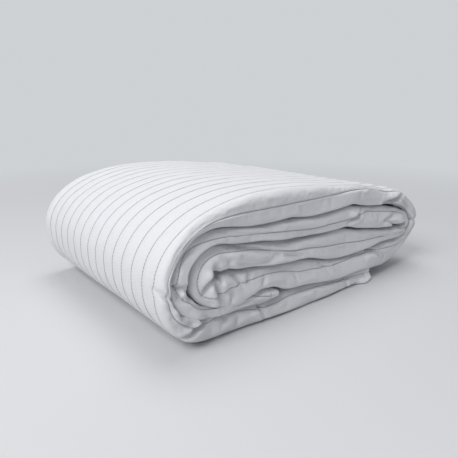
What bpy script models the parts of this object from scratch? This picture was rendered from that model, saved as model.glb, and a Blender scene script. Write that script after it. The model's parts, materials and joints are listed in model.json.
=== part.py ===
"""A quilted mattress pad for a single bed, folded in three along its length and rolled up.

The pad is one sandwich of face cloth, wadding and backing cloth, quilted in channels and bound
round its edge. It is folded like a letter, so that every lap of the roll holds three plies: the
outer two are joined by the soft fold at the near end, and the third is tucked between them from
the fold at the far end. The folded strip is then laid to and fro in the XZ plane along ROUTE.
+X is to the right, +Y runs from the near fold to the far end, and +Z is up from the floor.
"""

import math

import bmesh
import bpy
import numpy as np

# Driving sizes, in metres.
CHANNEL_PITCH = 0.020
CHANNELS = 15
ROLL_SPAN = 0.420
PLY = 0.008
PLIES = 3
FACE_CLOTH = 0.0004
BACKING_CLOTH = 0.0003
TAPE = 0.0004
TAPE_REACH = 0.010
TAPE_NOSE = 0.0012
NEAR_NOSE = 0.0136
CLEARANCE = 0.0003
REST_FLAT = 0.0005

# How finely the route is cut into stations, in metres.
CHORD_ERROR = 0.0012
LONGEST_RUN = 0.100

# How finely the folds across the strip are cut.
NOSE_STEPS = 6
FAR_FOLD_STEPS = 2
CURVE_STEPS = 12

# How far the channels puff up, as a share of the ply, and what the floor leaves of that.
CROWN_SHARE = 0.20
PRESSED_SHARE = 0.15

# What follows from them.
LAP = PLIES * PLY
LINES = CHANNELS - 1
ROLL_DEPTH = NEAR_NOSE + LINES * CHANNEL_PITCH
NEAR_Y = -ROLL_DEPTH / 2
FIRST_LINE_Y = NEAR_Y + NEAR_NOSE
FAR_Y = ROLL_DEPTH / 2
PINCH = TAPE + CLEARANCE

# The middle of the strip, from the loose end that lies under the roll to the end at its heart.
# Each row holds a share of the span, then in laps: the step from there to the right, the height
# and the thickness, which is least where the strip is drawn tight round a turn.
UNDER_LAP_SHARES = (
    (0.742, 0.00, 0.31, 0.62),
    (0.660, 0.00, 0.32, 0.64),
    (0.564, 0.00, 0.34, 0.68),
    (0.455, 0.00, 0.46, 0.92),
    (0.360, 0.00, 0.43, 0.86),
    (0.293, 0.00, 0.42, 0.84),
    (0.207, 0.00, 0.48, 0.96),
    (0.000, 2.34, 0.53, 1.00),
)
LEFT_TURN_SHARES = (
    (0.000, 1.57, 0.66, 0.84),
    (0.000, 1.06, 1.03, 0.80),
    (0.000, 0.63, 1.52, 0.70),
    (0.000, 0.39, 2.04, 0.64),
    (0.000, 0.31, 2.58, 0.60),
    (0.000, 0.34, 3.10, 0.59),
    (0.000, 0.54, 3.62, 0.59),
    (0.000, 0.92, 4.13, 0.59),
    (0.000, 1.52, 4.59, 0.61),
    (0.000, 2.32, 4.92, 0.74),
    (0.000, 3.21, 5.08, 0.94),
)
TOP_LAP_SHARES = (
    (0.245, 0.00, 5.15, 1.18),
    (0.322, 0.00, 5.17, 1.28),
    (0.397, 0.00, 5.14, 1.29),
    (0.481, 0.00, 5.05, 1.30),
    (0.567, 0.00, 4.96, 1.14),
    (0.633, 0.00, 4.93, 0.95),
    (0.689, 0.00, 4.81, 0.97),
    (0.755, 0.00, 4.61, 0.97),
    (0.814, 0.00, 4.46, 0.82),
)
RIGHT_TURN_SHARES = (
    (1.000, -2.38, 4.41, 0.75),
    (1.000, -1.58, 4.10, 0.65),
    (1.000, -0.85, 3.60, 0.56),
    (1.000, -0.41, 3.19, 0.50),
    (1.000, -0.18, 2.69, 0.46),
    (1.000, -0.43, 2.27, 0.46),
    (1.000, -0.95, 1.88, 0.50),
    (1.000, -1.49, 1.58, 0.60),
    (1.000, -1.99, 1.35, 0.76),
    (0.840, 0.00, 1.20, 0.95),
)
LOWER_LAP_SHARES = (
    (0.769, 0.00, 1.18, 0.95),
    (0.683, 0.00, 1.19, 0.96),
    (0.597, 0.00, 1.25, 0.96),
    (0.522, 0.00, 1.40, 0.99),
    (0.456, 0.00, 1.61, 1.08),
    (0.389, 0.00, 1.78, 1.06),
    (0.323, 0.00, 1.98, 0.98),
    (0.274, 0.00, 2.09, 1.01),
    (0.218, 0.00, 2.10, 1.07),
)
HEART_TURN_SHARES = (
    (0.000, 3.10, 2.11, 1.09),
    (0.000, 2.52, 2.17, 1.01),
    (0.000, 2.10, 2.51, 1.02),
    (0.000, 2.05, 2.91, 0.95),
    (0.000, 2.21, 3.24, 0.89),
    (0.000, 2.58, 3.44, 0.83),
)
MIDDLE_LAP_SHARES = (
    (0.185, 0.00, 3.44, 0.86),
    (0.232, 0.00, 3.31, 0.94),
    (0.307, 0.00, 3.08, 1.02),
    (0.379, 0.00, 2.94, 0.97),
    (0.454, 0.00, 2.83, 0.98),
    (0.525, 0.00, 2.66, 1.17),
    (0.597, 0.00, 2.56, 1.31),
    (0.668, 0.00, 2.42, 1.09),
    (0.740, 0.00, 2.33, 0.92),
    (0.811, 0.00, 2.24, 0.63),
)
INNER_RIGHT_TURN_SHARES = (
    (1.000, -2.46, 2.18, 0.46),
    (1.000, -1.96, 2.15, 0.42),
    (1.000, -1.45, 2.26, 0.42),
    (1.000, -1.16, 2.62, 0.42),
    (1.000, -1.33, 2.96, 0.44),
    (1.000, -1.83, 3.12, 0.54),
    (1.000, -2.46, 3.16, 0.81),
)
UPPER_LAP_SHARES = (
    (0.799, 0.00, 3.33, 1.01),
    (0.740, 0.00, 3.46, 0.97),
    (0.680, 0.00, 3.62, 0.99),
    (0.624, 0.00, 3.81, 0.97),
    (0.550, 0.00, 3.82, 0.85),
    (0.454, 0.00, 3.82, 0.81),
    (0.359, 0.00, 3.97, 0.78),
    (0.285, 0.00, 4.09, 0.65),
    (0.213, 0.00, 4.19, 0.55),
)
INNER_LEFT_TURN_SHARES = (
    (0.000, 2.89, 4.23, 0.48),
    (0.000, 2.17, 4.11, 0.42),
    (0.000, 1.61, 3.86, 0.42),
    (0.000, 1.24, 3.51, 0.42),
    (0.000, 1.08, 3.13, 0.46),
    (0.000, 1.07, 2.71, 0.54),
    (0.000, 1.20, 2.26, 0.60),
    (0.000, 1.55, 1.79, 0.50),
    (0.000, 2.22, 1.48, 0.42),
)
TUCKED_END_SHARES = (
    (0.000, 3.11, 1.37, 0.42),
    (0.225, 0.00, 1.38, 0.42),
    (0.268, 0.00, 1.32, 0.54),
    (0.307, 0.00, 1.19, 0.58),
    (0.342, 0.00, 1.15, 0.54),
)
OUTER_TURNS = UNDER_LAP_SHARES + LEFT_TURN_SHARES + TOP_LAP_SHARES + RIGHT_TURN_SHARES
INNER_TURNS = (
    LOWER_LAP_SHARES
    + HEART_TURN_SHARES
    + MIDDLE_LAP_SHARES
    + INNER_RIGHT_TURN_SHARES
    + UPPER_LAP_SHARES
    + INNER_LEFT_TURN_SHARES
    + TUCKED_END_SHARES
)
ROUTE = OUTER_TURNS + INNER_TURNS


def route_points():
    """The route's rows as x, z and thickness in metres."""
    points = []
    for span_share, laps_right, laps_up, laps_thick in ROUTE:
        x = -ROLL_SPAN / 2 + span_share * ROLL_SPAN + laps_right * LAP
        points.append((x, laps_up * LAP, laps_thick * LAP))
    return np.array(points)


def blend(first, second, start, end, at):
    """The point at a knot value on the straight way between two others."""
    return first + (second - first) * (at - start) / (end - start)


def smooth_curve(points):
    """A smooth curve through every row, with the index of its row at each point."""
    before = 2 * points[0] - points[1]
    after = 2 * points[-1] - points[-2]
    rows = np.vstack([before, points, after])
    curve, row_of = [], []
    for index in range(1, len(rows) - 2):
        p = rows[index - 1 : index + 3]
        spacing = np.sqrt(np.linalg.norm(np.diff(p[:, :2], axis=0), axis=1))
        knots = np.concatenate([[0.0], np.cumsum(spacing)])
        for at in np.linspace(knots[1], knots[2], CURVE_STEPS, endpoint=False):
            a = [blend(p[k], p[k + 1], knots[k], knots[k + 1], at) for k in range(3)]
            b = [blend(a[k], a[k + 1], knots[k], knots[k + 2], at) for k in range(2)]
            curve.append(blend(b[0], b[1], knots[1], knots[2], at))
            row_of.append(index - 1)
    curve.append(points[-1])
    row_of.append(len(points) - 1)
    return np.array(curve), np.array(row_of)


def chord_error(curve, start, end):
    """How far the curve strays from the straight way between two of its points."""
    chord = curve[end, :2] - curve[start, :2]
    between = curve[start + 1 : end, :2] - curve[start, :2]
    if not len(between):
        return 0.0
    across = chord[0] * between[:, 1] - chord[1] * between[:, 0]
    return np.abs(across).max() / np.linalg.norm(chord)


class Station:
    """One place on the route: its middle, its direction of travel and its thickness."""

    def __init__(self, middle, travel, thickness, taped=False, pressed=False):
        self.middle = np.array(middle)
        self.travel = travel / np.linalg.norm(travel)
        self.left = np.array((-self.travel[1], self.travel[0]))
        self.half = thickness / 2
        self.ply_half = thickness / PLIES / 2 - CLEARANCE / 2
        self.crown = CROWN_SHARE * 2 * self.ply_half * (PRESSED_SHARE if pressed else 1.0)
        self.taped = taped

    def moved(self, distance):
        """The same place, a little further along the route."""
        middle = self.middle + self.travel * distance
        return Station(middle, self.travel, 2 * self.half, self.taped)

    def at(self, y, height, forward=0.0):
        """World place of a point of the section, which never dips below the resting plane."""
        x, z = self.middle + self.left * height + self.travel * forward
        return (x, y, max(z - REST_FLAT, 0.0))


def make_stations():
    """Stations along the route, close together round the turns, and where the inner turns start."""
    curve, row_of = smooth_curve(route_points())
    travel = np.gradient(curve[:, :2], axis=0)
    run = np.concatenate([[0.0], np.cumsum(np.linalg.norm(np.diff(curve[:, :2], axis=0), axis=1))])
    tape_start = int(np.searchsorted(run, TAPE_REACH + CLEARANCE))
    tape_end = int(np.searchsorted(run, run[-1] - TAPE_REACH - CLEARANCE)) - 1
    split = int(np.argmax(row_of == len(OUTER_TURNS)))
    kept = [0, tape_start]
    while kept[-1] < tape_end:
        start = kept[-1]
        end = start + 1
        limit = split if start < split else tape_end
        while (
            end < limit
            and run[end + 1] - run[start] <= LONGEST_RUN
            and chord_error(curve, start, end + 1) <= CHORD_ERROR
        ):
            end += 1
        kept.append(end)
    kept.append(len(curve) - 1)
    taped = kept[:2] + kept[-2:]
    pressed = row_of < len(UNDER_LAP_SHARES) - 1
    stations = []
    for k in kept:
        stations.append(Station(curve[k, :2], travel[k], curve[k, 2], k in taped, pressed[k]))
    return stations, kept.index(split), run[-1]


def half_turn(middle_y, middle_height, radius_y, radius_height, first, last, steps):
    """Points of a fold seen along the route, from one angle to another."""
    points = []
    for step in range(steps + 1):
        angle = first + (last - first) * step / steps
        points.append(
            (middle_y + radius_y * math.cos(angle), middle_height + radius_height * math.sin(angle))
        )
    return points


def edge_half(station, free_edge=False):
    """Half the thickness of a ply, drawn in where the binding tape goes round it."""
    drawn_in = PINCH if station.taped or free_edge else 0.0
    return station.ply_half - drawn_in


def across(station, offset, edge_offset):
    """The folded ply's path across the strip, set off from its middle towards its face side.

    It runs from the free edge on the right hand round the near fold to the left hand, back round
    the far fold and ends at the free edge that is tucked into the near fold.
    """
    ply_height = station.half * 2 / PLIES
    outer_radius = NEAR_NOSE - station.ply_half
    fold_radius = ply_height / 2
    far_fold_y = FAR_Y - fold_radius - station.ply_half
    path = [(FAR_Y - TAPE_NOSE, -ply_height - edge_offset)]
    path += half_turn(
        FIRST_LINE_Y,
        0.0,
        outer_radius + offset,
        ply_height + offset,
        1.5 * math.pi,
        0.5 * math.pi,
        NOSE_STEPS,
    )
    path += half_turn(
        far_fold_y,
        fold_radius,
        fold_radius + offset,
        fold_radius + offset,
        0.5 * math.pi,
        -0.5 * math.pi,
        FAR_FOLD_STEPS,
    )
    path.append((FIRST_LINE_Y + TAPE_NOSE, -edge_offset))
    return path


def sunk_run(path, station):
    """The path lowered on the outside of the roll, where the quilting draws the cloth in."""
    lowered = list(path)
    for index in (1 + NOSE_STEPS, 2 + NOSE_STEPS):
        y, height = lowered[index]
        lowered[index] = (y, height - station.crown)
    return lowered


def puffed_run(path, station):
    """The path with its channels puffed up between the sunk quilting lines."""
    first_line = 1 + NOSE_STEPS
    height = path[first_line][1]
    sunk = height - station.crown
    puffed = path[:first_line] + [(FIRST_LINE_Y, sunk)]
    for line in range(1, LINES):
        line_y = FIRST_LINE_Y + line * CHANNEL_PITCH
        puffed.append((line_y - CHANNEL_PITCH / 2, height))
        puffed.append((line_y, sunk))
    return puffed + path[first_line + 1 :]


def face_rows(station, channels):
    """Outside and inside of the face cloth across the strip."""
    half, edge = edge_half(station), edge_half(station, True)
    outside = across(station, half, edge)
    inside = across(station, half - FACE_CLOTH, edge - FACE_CLOTH)
    if channels:
        outside = puffed_run(outside, station)
        inside = sunk_run(inside, station)
    return outside, inside


def wadding_rows(station, channels):
    """Both faces of the wadding, which lies between the two cloths."""
    half, edge = edge_half(station), edge_half(station, True)
    above = FACE_CLOTH + CLEARANCE
    below = BACKING_CLOTH + CLEARANCE
    outside = across(station, half - above, edge - above)
    inside = across(station, below - half, below - edge)
    if channels:
        outside = sunk_run(outside, station)
    return outside, inside


def backing_rows(station):
    """Both faces of the backing cloth, on the other side of the wadding."""
    half, edge = edge_half(station), edge_half(station, True)
    outside = across(station, BACKING_CLOTH - half, BACKING_CLOTH - edge)
    inside = across(station, -half, -edge)
    return outside, inside


def tape_section(half):
    """Both sides of the binding tape round an edge, as reach past the edge and height."""
    gap = half + CLEARANCE
    skin = half + PINCH
    outside = (
        (-TAPE_REACH, skin),
        (0.0, skin),
        (TAPE_NOSE, 0.0),
        (0.0, -skin),
        (-TAPE_REACH, -skin),
    )
    inside = (
        (-TAPE_REACH, gap),
        (CLEARANCE, gap),
        (CLEARANCE, -gap),
        (-TAPE_REACH, -gap),
    )
    return outside, inside


def clear_scene():
    """Removes whatever the scene starts with."""
    for existing in list(bpy.data.objects):
        bpy.data.objects.remove(existing, do_unlink=True)


def material(name, color, roughness, sheen):
    """A cloth or wadding finish."""
    made = bpy.data.materials.new(name)
    made.use_nodes = True
    shader = made.node_tree.nodes["Principled BSDF"]
    shader.inputs["Base Color"].default_value = (*color, 1.0)
    shader.inputs["Roughness"].default_value = roughness
    shader.inputs["Metallic"].default_value = 0.0
    shader.inputs["Sheen Weight"].default_value = sheen
    made.diffuse_color = (*color, 1.0)
    return made


def close_end(mesh, outside, inside, fan_at):
    """Faces across an end, between the two sides of a section.

    The outside may hold more points than the inside, all of them after the point fan_at.
    """
    extra = len(outside) - len(inside)
    near = 0
    for k in range(len(inside) - 1):
        far = k + 1 + (extra if k >= fan_at else 0)
        for corner in range(near, far):
            mesh.faces.new((inside[k], outside[corner], outside[corner + 1]))
        mesh.faces.new((inside[k], outside[far], inside[k + 1]))
        near = far


def loft(name, sections, fan_at, finish, collection):
    """A closed solid through sections, each an outside and an inside row of points.

    Each four-sided face is cut along the same diagonal on both sides, so that neighbouring
    layers keep their distance.
    """
    mesh = bmesh.new()
    rows = []
    for outside, inside in sections:
        rows.append([[mesh.verts.new(point) for point in side] for side in (outside, inside)])
    for first, second in zip(rows, rows[1:]):
        for here, there in zip(first, second):
            for k in range(len(here) - 1):
                mesh.faces.new((here[k], here[k + 1], there[k + 1]))
                mesh.faces.new((here[k], there[k + 1], there[k]))
        for k in (0, -1):
            (outside, inside), (outside_next, inside_next) = first, second
            mesh.faces.new((outside[k], inside[k], inside_next[k], outside_next[k]))
    close_end(mesh, *rows[0], fan_at)
    close_end(mesh, *rows[-1], fan_at)
    bmesh.ops.recalc_face_normals(mesh, faces=mesh.faces)
    if mesh.calc_volume(signed=True) < 0:
        bmesh.ops.reverse_faces(mesh, faces=mesh.faces)
    data = bpy.data.meshes.new(name)
    mesh.to_mesh(data)
    mesh.free()
    data.shade_smooth()
    data.set_sharp_from_angle(angle=math.radians(40))
    made = bpy.data.objects.new(name, data)
    made.data.materials.append(finish)
    collection.objects.link(made)
    return made


def layer(name, stations, rows_of, finish, collection):
    """One layer of the sandwich, from the two faces that rows_of gives at each station."""
    sections = []
    for index, station in enumerate(stations):
        rows = rows_of(index, station)
        sections.append([[station.at(y, height) for y, height in row] for row in rows])
    return loft(name, sections, 1 + NOSE_STEPS, finish, collection)


def side_tape(name, stations, height_of, edge_y, outward, finish, collection):
    """Binding tape round a long free edge of the pad."""
    sections = []
    for station in stations:
        middle = height_of(station)
        sides = []
        for side in tape_section(edge_half(station, True)):
            sides.append(
                [station.at(edge_y + outward * reach, middle + height) for reach, height in side]
            )
        sections.append(sides)
    return loft(name, sections, 1, finish, collection)


def end_tape(name, end, lip, outward, finish, collection):
    """Binding tape round an end of the pad, along every ply of the folded strip.

    Its lips lie where the side tapes begin, one clearance away from them.
    """
    sides = []
    for at_end, at_lip in zip(tape_section(edge_half(end)), tape_section(edge_half(lip))):
        corners = []
        for (reach, height), (_, lip_height) in zip(at_end, at_lip):
            if reach < 0:
                corners.append((lip, across(lip, lip_height, lip_height), outward * CLEARANCE))
            else:
                corners.append((end, across(end, height, height), outward * reach))
        sides.append(corners)
    sections = []
    for k in range(len(sides[0][0][1])):
        sections.append([[place.at(*path[k], forward=step) for place, path, step in c] for c in sides])
    return loft(name, sections, 1, finish, collection)


def build():
    """The whole pad, piece by piece."""
    clear_scene()
    collection = bpy.data.collections.new("mattress_pad")
    bpy.context.scene.collection.children.link(collection)
    face = material("face_cloth", (0.80, 0.81, 0.83), 0.85, 0.3)
    fill = material("wadding", (0.84, 0.83, 0.80), 0.95, 0.0)
    back = material("backing_cloth", (0.72, 0.73, 0.75), 0.90, 0.1)
    tape = material("binding_tape", (0.76, 0.77, 0.79), 0.80, 0.2)

    stations, split, length = make_stations()
    outer = stations[: split + 1]
    inner = [stations[split].moved(CLEARANCE)] + stations[split + 1 :]
    layer("face_cloth_outer_turns", outer, lambda k, s: face_rows(s, True), face, collection)
    layer("face_cloth_inner_turns", inner, lambda k, s: face_rows(s, False), face, collection)
    layer("wadding", stations, lambda k, s: wadding_rows(s, k <= split), fill, collection)
    layer("backing_cloth", stations, lambda k, s: backing_rows(s), back, collection)

    taped = stations[1:-1]
    side_tape(
        "outer_side_binding",
        taped,
        lambda s: -s.half * 2 / PLIES,
        FAR_Y - TAPE_NOSE,
        1,
        tape,
        collection,
    )
    side_tape(
        "tucked_side_binding",
        taped,
        lambda s: 0.0,
        FIRST_LINE_Y + TAPE_NOSE,
        -1,
        tape,
        collection,
    )
    end_tape("foot_end_binding", stations[0], stations[1], -1, tape, collection)
    end_tape("head_end_binding", stations[-1], stations[-2], 1, tape, collection)
    print(f"{len(stations)} stations, strip {length:.3f} m long, split at {split}")


build()
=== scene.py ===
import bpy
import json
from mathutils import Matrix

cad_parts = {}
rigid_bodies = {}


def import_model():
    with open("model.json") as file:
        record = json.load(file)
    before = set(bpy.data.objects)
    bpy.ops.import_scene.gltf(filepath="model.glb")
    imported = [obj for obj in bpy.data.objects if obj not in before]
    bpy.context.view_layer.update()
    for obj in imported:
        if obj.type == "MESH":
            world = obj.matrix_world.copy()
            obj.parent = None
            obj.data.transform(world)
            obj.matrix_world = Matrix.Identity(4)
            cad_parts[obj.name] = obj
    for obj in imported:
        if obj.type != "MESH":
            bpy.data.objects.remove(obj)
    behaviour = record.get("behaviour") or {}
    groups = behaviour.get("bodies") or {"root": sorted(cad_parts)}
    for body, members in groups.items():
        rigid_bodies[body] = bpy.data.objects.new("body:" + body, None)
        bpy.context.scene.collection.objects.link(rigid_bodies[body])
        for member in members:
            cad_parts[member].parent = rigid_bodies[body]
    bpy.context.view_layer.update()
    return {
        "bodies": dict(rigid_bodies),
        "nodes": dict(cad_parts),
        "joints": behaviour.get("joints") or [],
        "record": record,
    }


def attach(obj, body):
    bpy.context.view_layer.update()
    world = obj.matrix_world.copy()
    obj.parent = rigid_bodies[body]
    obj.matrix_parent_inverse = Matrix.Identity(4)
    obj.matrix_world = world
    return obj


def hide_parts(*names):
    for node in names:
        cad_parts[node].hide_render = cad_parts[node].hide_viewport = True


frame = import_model()

import copy
import json
import math

import bmesh
import bpy
import numpy as np
from mathutils import Vector

# A value so small that it counts as none, and a millimetre in the scene's metres.
TINY = 1e-6
MILLIMETRE = 0.001

# Sizes in metres, the same as those of the solids.
CHANNEL_PITCH = 0.020
CHANNELS = 15
ROLL_SPAN = 0.420
PLY = 0.008
PLIES = 3
TAPE = 0.0004
TAPE_REACH = 0.010
TAPE_NOSE = 0.0012
NEAR_NOSE = 0.0136
CLEARANCE = 0.0003
REST_FLAT = 0.0005
PINCH = TAPE + CLEARANCE
LAP = PLIES * PLY
LINES = CHANNELS - 1
ROLL_DEPTH = NEAR_NOSE + LINES * CHANNEL_PITCH
NEAR_Y = -ROLL_DEPTH / 2
FIRST_LINE_Y = NEAR_Y + NEAR_NOSE
FAR_Y = ROLL_DEPTH / 2

# How the laps swell at the near end until they meet: the widest gap that they close, where of a
# gap up to twice as wide they close as much, how far behind the first quilting line the swelling
# has died out, and how far apart along the strip two places are that count as two laps.
SWELL_GAP = 0.022
SWELL_REACH = 0.050
SWELL_NEIGHBOUR = 0.040

# How finely the pad is cut: along the route and the strip, each side of the line round its near
# fold, between two lines on the face and under the ply, and in its far end.
CURVE_STEPS = 24
STATION = 0.0015
NEAR_FOLD_STEPS = 36
FACE_STEPS = 9
UNDER_STEPS = 3
FAR_STEPS = 5
FAR_FOLD_STEPS = 15
INNER_STEPS = 30

# Over how many stations each form of the near end is evened out along the strip, and within how
# many of them the lowest swelling counts.
EVEN_LINE = 5
EVEN_FOLD = 6
EVEN_CORNER = 2
EVEN_SWELL = 3
LOWEST_SWELL = 5

# How unevenly the laps lie at the near end, and over which length that changes.
NEAR_UNEVEN = 0.0006
UNEVEN_WAVE = 0.09
UNEVEN_SEED = 14

# How far from the middle of the near fold its quilting line may lie, as a share of half its
# height, and how near to the centre of a turn the cloth may come, as a share of the way to it.
LINE_LIMIT = 0.9
TURN_LIMIT = 0.80

# The quilting: how far the face sinks from the middle of a channel to its line, in a wide crown
# and a narrow groove, and how many times as far it sinks round the near fold, where the cloth is
# slack. Then the puckers beside a line, and how unevenly the whole cloth lies.
CROWN = 0.0006
CROWN_POWER = 1.8
GROOVE = 0.00045
GROOVE_WIDTH = 0.0010
NEAR_SINK = 2.2
PUCKER = 0.00030
PUCKER_REACH = 0.0050
PUCKER_WAVE = 0.0075
PUCKER_WAVE_RANGE = (0.8, 1.3)
PUCKER_CLEAR = 0.001
SLACK = 0.0010
SLACK_WAVE = 0.045
SLACK_KNOTS = 64
RIPPLES = 2 * CHANNELS + 4
NOISE_SEED = 12

# Beside the line round the near fold its own form is whole. Where it begins to fade, and over
# which length it does, as shares of a channel.
LINE_FADE_FROM = 0.3
LINE_FADE_OVER = 0.4

# How far the face sinks under the ply, as a share of that on top, and at the far fold.
UNDER_SINK = 0.6
FAR_SINK = 0.0004

# Where the face's points lie between its last line and the far fold: by channel number past that
# line, by share of the way there, and how much of a channel each half of the far fold takes.
FAR_CHANNEL = (0.12, 0.62)
FAR_WIDTH = (0.15, 0.85)
FAR_FOLD_CHANNEL = 0.2

# How the cloth puffs up beside a crease: the share of the crease's depth, and how far off and how
# wide, in widths of the crease.
PUFF = 0.28
PUFF_AWAY = 2.6
PUFF_WIDTH = 1.6

# How a crease fades towards its ends: what is left there, and over which share of its length.
CREASE_END = 0.3
CREASE_FADE = 0.35

# Where the creases of the near end begin, measured back from its first line, and over which
# length towards the viewer they grow to their full depth.
CREASE_FROM = 0.004
CREASE_GROWS = 0.010

# Under a tape the ply is drawn in. Beyond the tape that eases off: where it ends and how long it
# takes, in reaches of the tape.
TUCK_ENDS = 1.3
TUCK_EASES = 0.3

# The tapes: where their flat walls have points, in reaches of the tape, how far an end tape's
# inside lies off the ply, and how finely they are folded over. A long tape stops SIDE_TAPE_ENDS
# stations short of both ends. An end tape is laid over END_TAPE_ROWS stations, and leaves out
# END_TAPE_TRIM points of the ply's outline at each long edge.
SIDE_TAPE_SHARES = (1.0, 0.85, 0.4)
END_TAPE_SHARES = (1.0, 0.9, 0.4, 0.0)
TAPE_LINING = 0.0001
TAPE_FOLD_STEPS = 11
END_TAPE_FOLD_STEPS = 9
SIDE_TAPE_ENDS = 6
END_TAPE_ROWS = 12
END_TAPE_TRIM = 2

# The backing cloth's two skins, in halves of the ply from its middle, and how finely they are cut
# across the strip, along it and in their folds. Then the same for the inner skin of the padded
# form, which lies LINING_UV beside the face on the cloth pattern.
LINING_SKINS = (-0.90, -1.0)
LINING_STEPS = 12
LINING_STATIONS = 2
LINING_NEAR_STEPS = 25
LINING_FAR_STEPS = 9
PAD_SKIN = -0.86
PAD_SKIN_STEPS = 9
LINING_UV = 1.0

# The run of the outer turns, whose face shows from outside the roll.
OUTER_TURNS = 0.95

# The cloth simulation puffs and puckers the face between its quilting lines. It has one in so many
# of the face's stations and of its points round the near fold. Elsewhere it has no point that is
# nearer to a line than CLOTH_LINE_CLEAR of a channel, apart from those on it.
CLOTH_STATIONS = 2
CLOTH_NEAR_STEPS = 4
CLOTH_LINE_CLEAR = 0.05

# The channel numbers that it runs between, and up to which one it goes on the inner turns. The
# outer turns are pinned from CLOTH_EDGE before their end.
CLOTH_FIRST_CHANNEL = -1.2
CLOTH_LAST_CHANNEL = CHANNELS - 0.5
CLOTH_NEAR_CHANNELS = 1.3
CLOTH_EDGE = 0.006

# How many frames it takes and how many steps each of them has, by which share the cloth is too
# wide, how hard the wadding presses it out, and how heavy and stiff it is.
CLOTH_FRAMES = 14
CLOTH_QUALITY = 4
CLOTH_SLACK = 0.014
CLOTH_PRESSURE = 4.0
CLOTH_MASS = 0.3
CLOTH_STRETCH = 15.0
CLOTH_SHEAR = 5.0
CLOTH_BENDING = 0.5

# How far it may move the face round the near fold, how far elsewhere, and the channel numbers
# between which the one goes over into the other. Nearer to a line than CLOTH_HELD it moves less.
# The moves are evened out over CLOTH_EVEN stations, to the share CLOTH_CALM beside the near line
# and whole away from it. Nothing moves for END_TAPE_COVER at each end of the strip, and the moves
# grow over as much again.
CLOTH_CAP = 0.0020
CLOTH_CAP_AWAY = 0.00020
CLOTH_CAP_CHANNELS = (0.7, 1.3)
CLOTH_HELD = 0.0035
CLOTH_EVEN = 4
CLOTH_CALM = 0.4
END_TAPE_COVER = 0.013

# The quilting thread: its stitches, how finely each is cut, and how far it stands off the face. It
# leaves this many stations free at both ends of the near line, and this run at the foot end of the
# other lines.
STITCH_SPACING = 0.0034
STITCH_SIZE = (0.00080, 0.00080, 0.0032)
STITCH_SIDES = 6
STITCH_RINGS = 4
STITCH_RADIUS = 0.5
THREAD_PROUD = 0.00026
THREAD_ENDS = 8
THREAD_STARTS = 0.006

# Each woven cloth's colour, the scale of its twill and the strength of its sheen.
FACE_COTTON = ((0.86, 0.87, 0.89), 900.0, 0.25)
LINING_COTTON = ((0.74, 0.75, 0.77), 700.0, 0.1)
WOVEN_TAPE = ((0.82, 0.83, 0.85), 1300.0, 0.2)

# What all woven cloths share: the twill, the nap, the change of tone between threads, how dark the
# darkest thread is beside the colour, and how high the weave stands.
CLOTH_ROUGHNESS = 0.9
SHEEN_ROUGHNESS = 0.6
TWILL_WAVER = 0.6
TWILL_HEIGHT = 0.35
NAP_SCALE = 330.0
NAP_DETAIL = 3.0
TONE_SCALE = 520.0
TONE_DETAIL = 2.0
TONE_DEPTH = 0.87
WEAVE_STRENGTH = 0.6
WEAVE_HEIGHT = 0.0010

# The quilting thread's finish.
THREAD_DARK = (0.32, 0.32, 0.34, 1.0)
THREAD_LIGHT = (0.44, 0.44, 0.46, 1.0)
THREAD_ROUGHNESS = 0.6
FIBRE_SCALE = 900.0

# The plain backdrop and the pale floor: their colours, half the floor's width, and the distances
# from its middle between which it fades into the backdrop.
BACKDROP = (0.62, 0.64, 0.66)
FLOOR_COLOR = (0.62, 0.62, 0.63, 1.0)
FLOOR_ROUGHNESS = 0.8
FLOOR_REACH = 8.0
FLOOR_FADES = (0.30, 1.30)

# Each soft box's name, place, size and power, what they point at, and the light of the room.
SOFT_BOXES = (
    ("key_light", (-1.45, -0.35, 1.35), 0.9, 23.5),
    ("top_light", (0.3, 0.3, 2.0), 1.4, 17.0),
)
LIGHT_AIM = (0.0, 0.0, 0.05)
ROOM_COLOR = (0.93, 0.95, 1.0, 1.0)
ROOM_LIGHT = 0.36

# The photo's camera: its sensor and lens in millimetres, its place, how far it looks down and how
# far it is turned to the right, in degrees.
SENSOR = 36.0
LENS = 34.585
CAMERA_PLACE = (-0.3790, -0.4406, 0.2185)
CAMERA_DOWN = 15.72
CAMERA_TURN = 39.575

# The middle of the strip, as in the solids: share of the span, then in laps the step to the
# right, the height and the thickness.
UNDER_LAP = (
    (0.742, 0.00, 0.31, 0.62),
    (0.660, 0.00, 0.32, 0.64),
    (0.564, 0.00, 0.34, 0.68),
    (0.455, 0.00, 0.46, 0.92),
    (0.360, 0.00, 0.43, 0.86),
    (0.293, 0.00, 0.42, 0.84),
    (0.207, 0.00, 0.48, 0.96),
    (0.000, 2.34, 0.53, 1.00),
)
LEFT_TURN = (
    (0.000, 1.57, 0.66, 0.84),
    (0.000, 1.06, 1.03, 0.80),
    (0.000, 0.63, 1.52, 0.70),
    (0.000, 0.39, 2.04, 0.64),
    (0.000, 0.31, 2.58, 0.60),
    (0.000, 0.34, 3.10, 0.59),
    (0.000, 0.54, 3.62, 0.59),
    (0.000, 0.92, 4.13, 0.59),
    (0.000, 1.52, 4.59, 0.61),
    (0.000, 2.32, 4.92, 0.74),
    (0.000, 3.21, 5.08, 0.94),
)
TOP_LAP = (
    (0.245, 0.00, 5.15, 1.18),
    (0.322, 0.00, 5.17, 1.28),
    (0.397, 0.00, 5.14, 1.29),
    (0.481, 0.00, 5.05, 1.30),
    (0.567, 0.00, 4.96, 1.14),
    (0.633, 0.00, 4.93, 0.95),
    (0.689, 0.00, 4.81, 0.97),
    (0.755, 0.00, 4.61, 0.97),
    (0.814, 0.00, 4.46, 0.82),
)
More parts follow.
